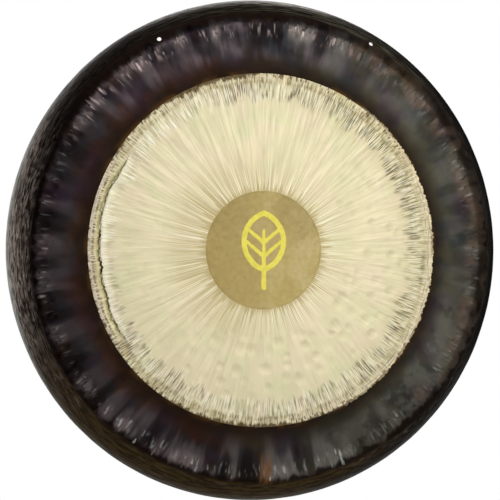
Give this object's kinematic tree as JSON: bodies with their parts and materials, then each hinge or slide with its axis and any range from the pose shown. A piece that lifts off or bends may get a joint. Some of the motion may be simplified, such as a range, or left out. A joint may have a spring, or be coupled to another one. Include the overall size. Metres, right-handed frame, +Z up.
{
  "type": "tam tam gong",
  "caption": "Large flat tam tam gong with a turned-back rim, a lathed bright ring, a dark hammered band, a matt centre with a painted leaf, and two cord holes at the top.",
  "frame": {"origin": "midway between the two cord holes, in the middle of the wall", "axes": "+Z up as it hangs, +X to the right seen from the front, the face looks along -Y and the rim turns back along +Y; the gong's own axis is parallel to Y, 336 mm below and 8.5 mm left of the origin"},
  "size_m": [0.8129, 0.076, 0.813],
  "materials": {
    "matt_bronze": "fine matt, scrubbed, unpolished",
    "lathed_bronze": "bright, lathe-turned and brushed, satin with radial streaks",
    "dark_oxide_bronze": "dark brown-black furnace oxide, semi-gloss",
    "hammered_oxide_bronze": "dark oxide with bright hammer marks",
    "rim_bronze": "grey-brown hammered oxide",
    "yellow_paint": "yellow brush paint, satin"
  },
  "bodies": {
    "root": {"centre_disc": "matt_bronze", "lathed_face": "lathed_bronze", "dark_band": "dark_oxide_bronze", "shoulder": "hammered_oxide_bronze", "rim_wall": "rim_bronze", "rim_edge": "rim_bronze", "centre_emblem": "yellow_paint"}
  },
  "joints": []
}
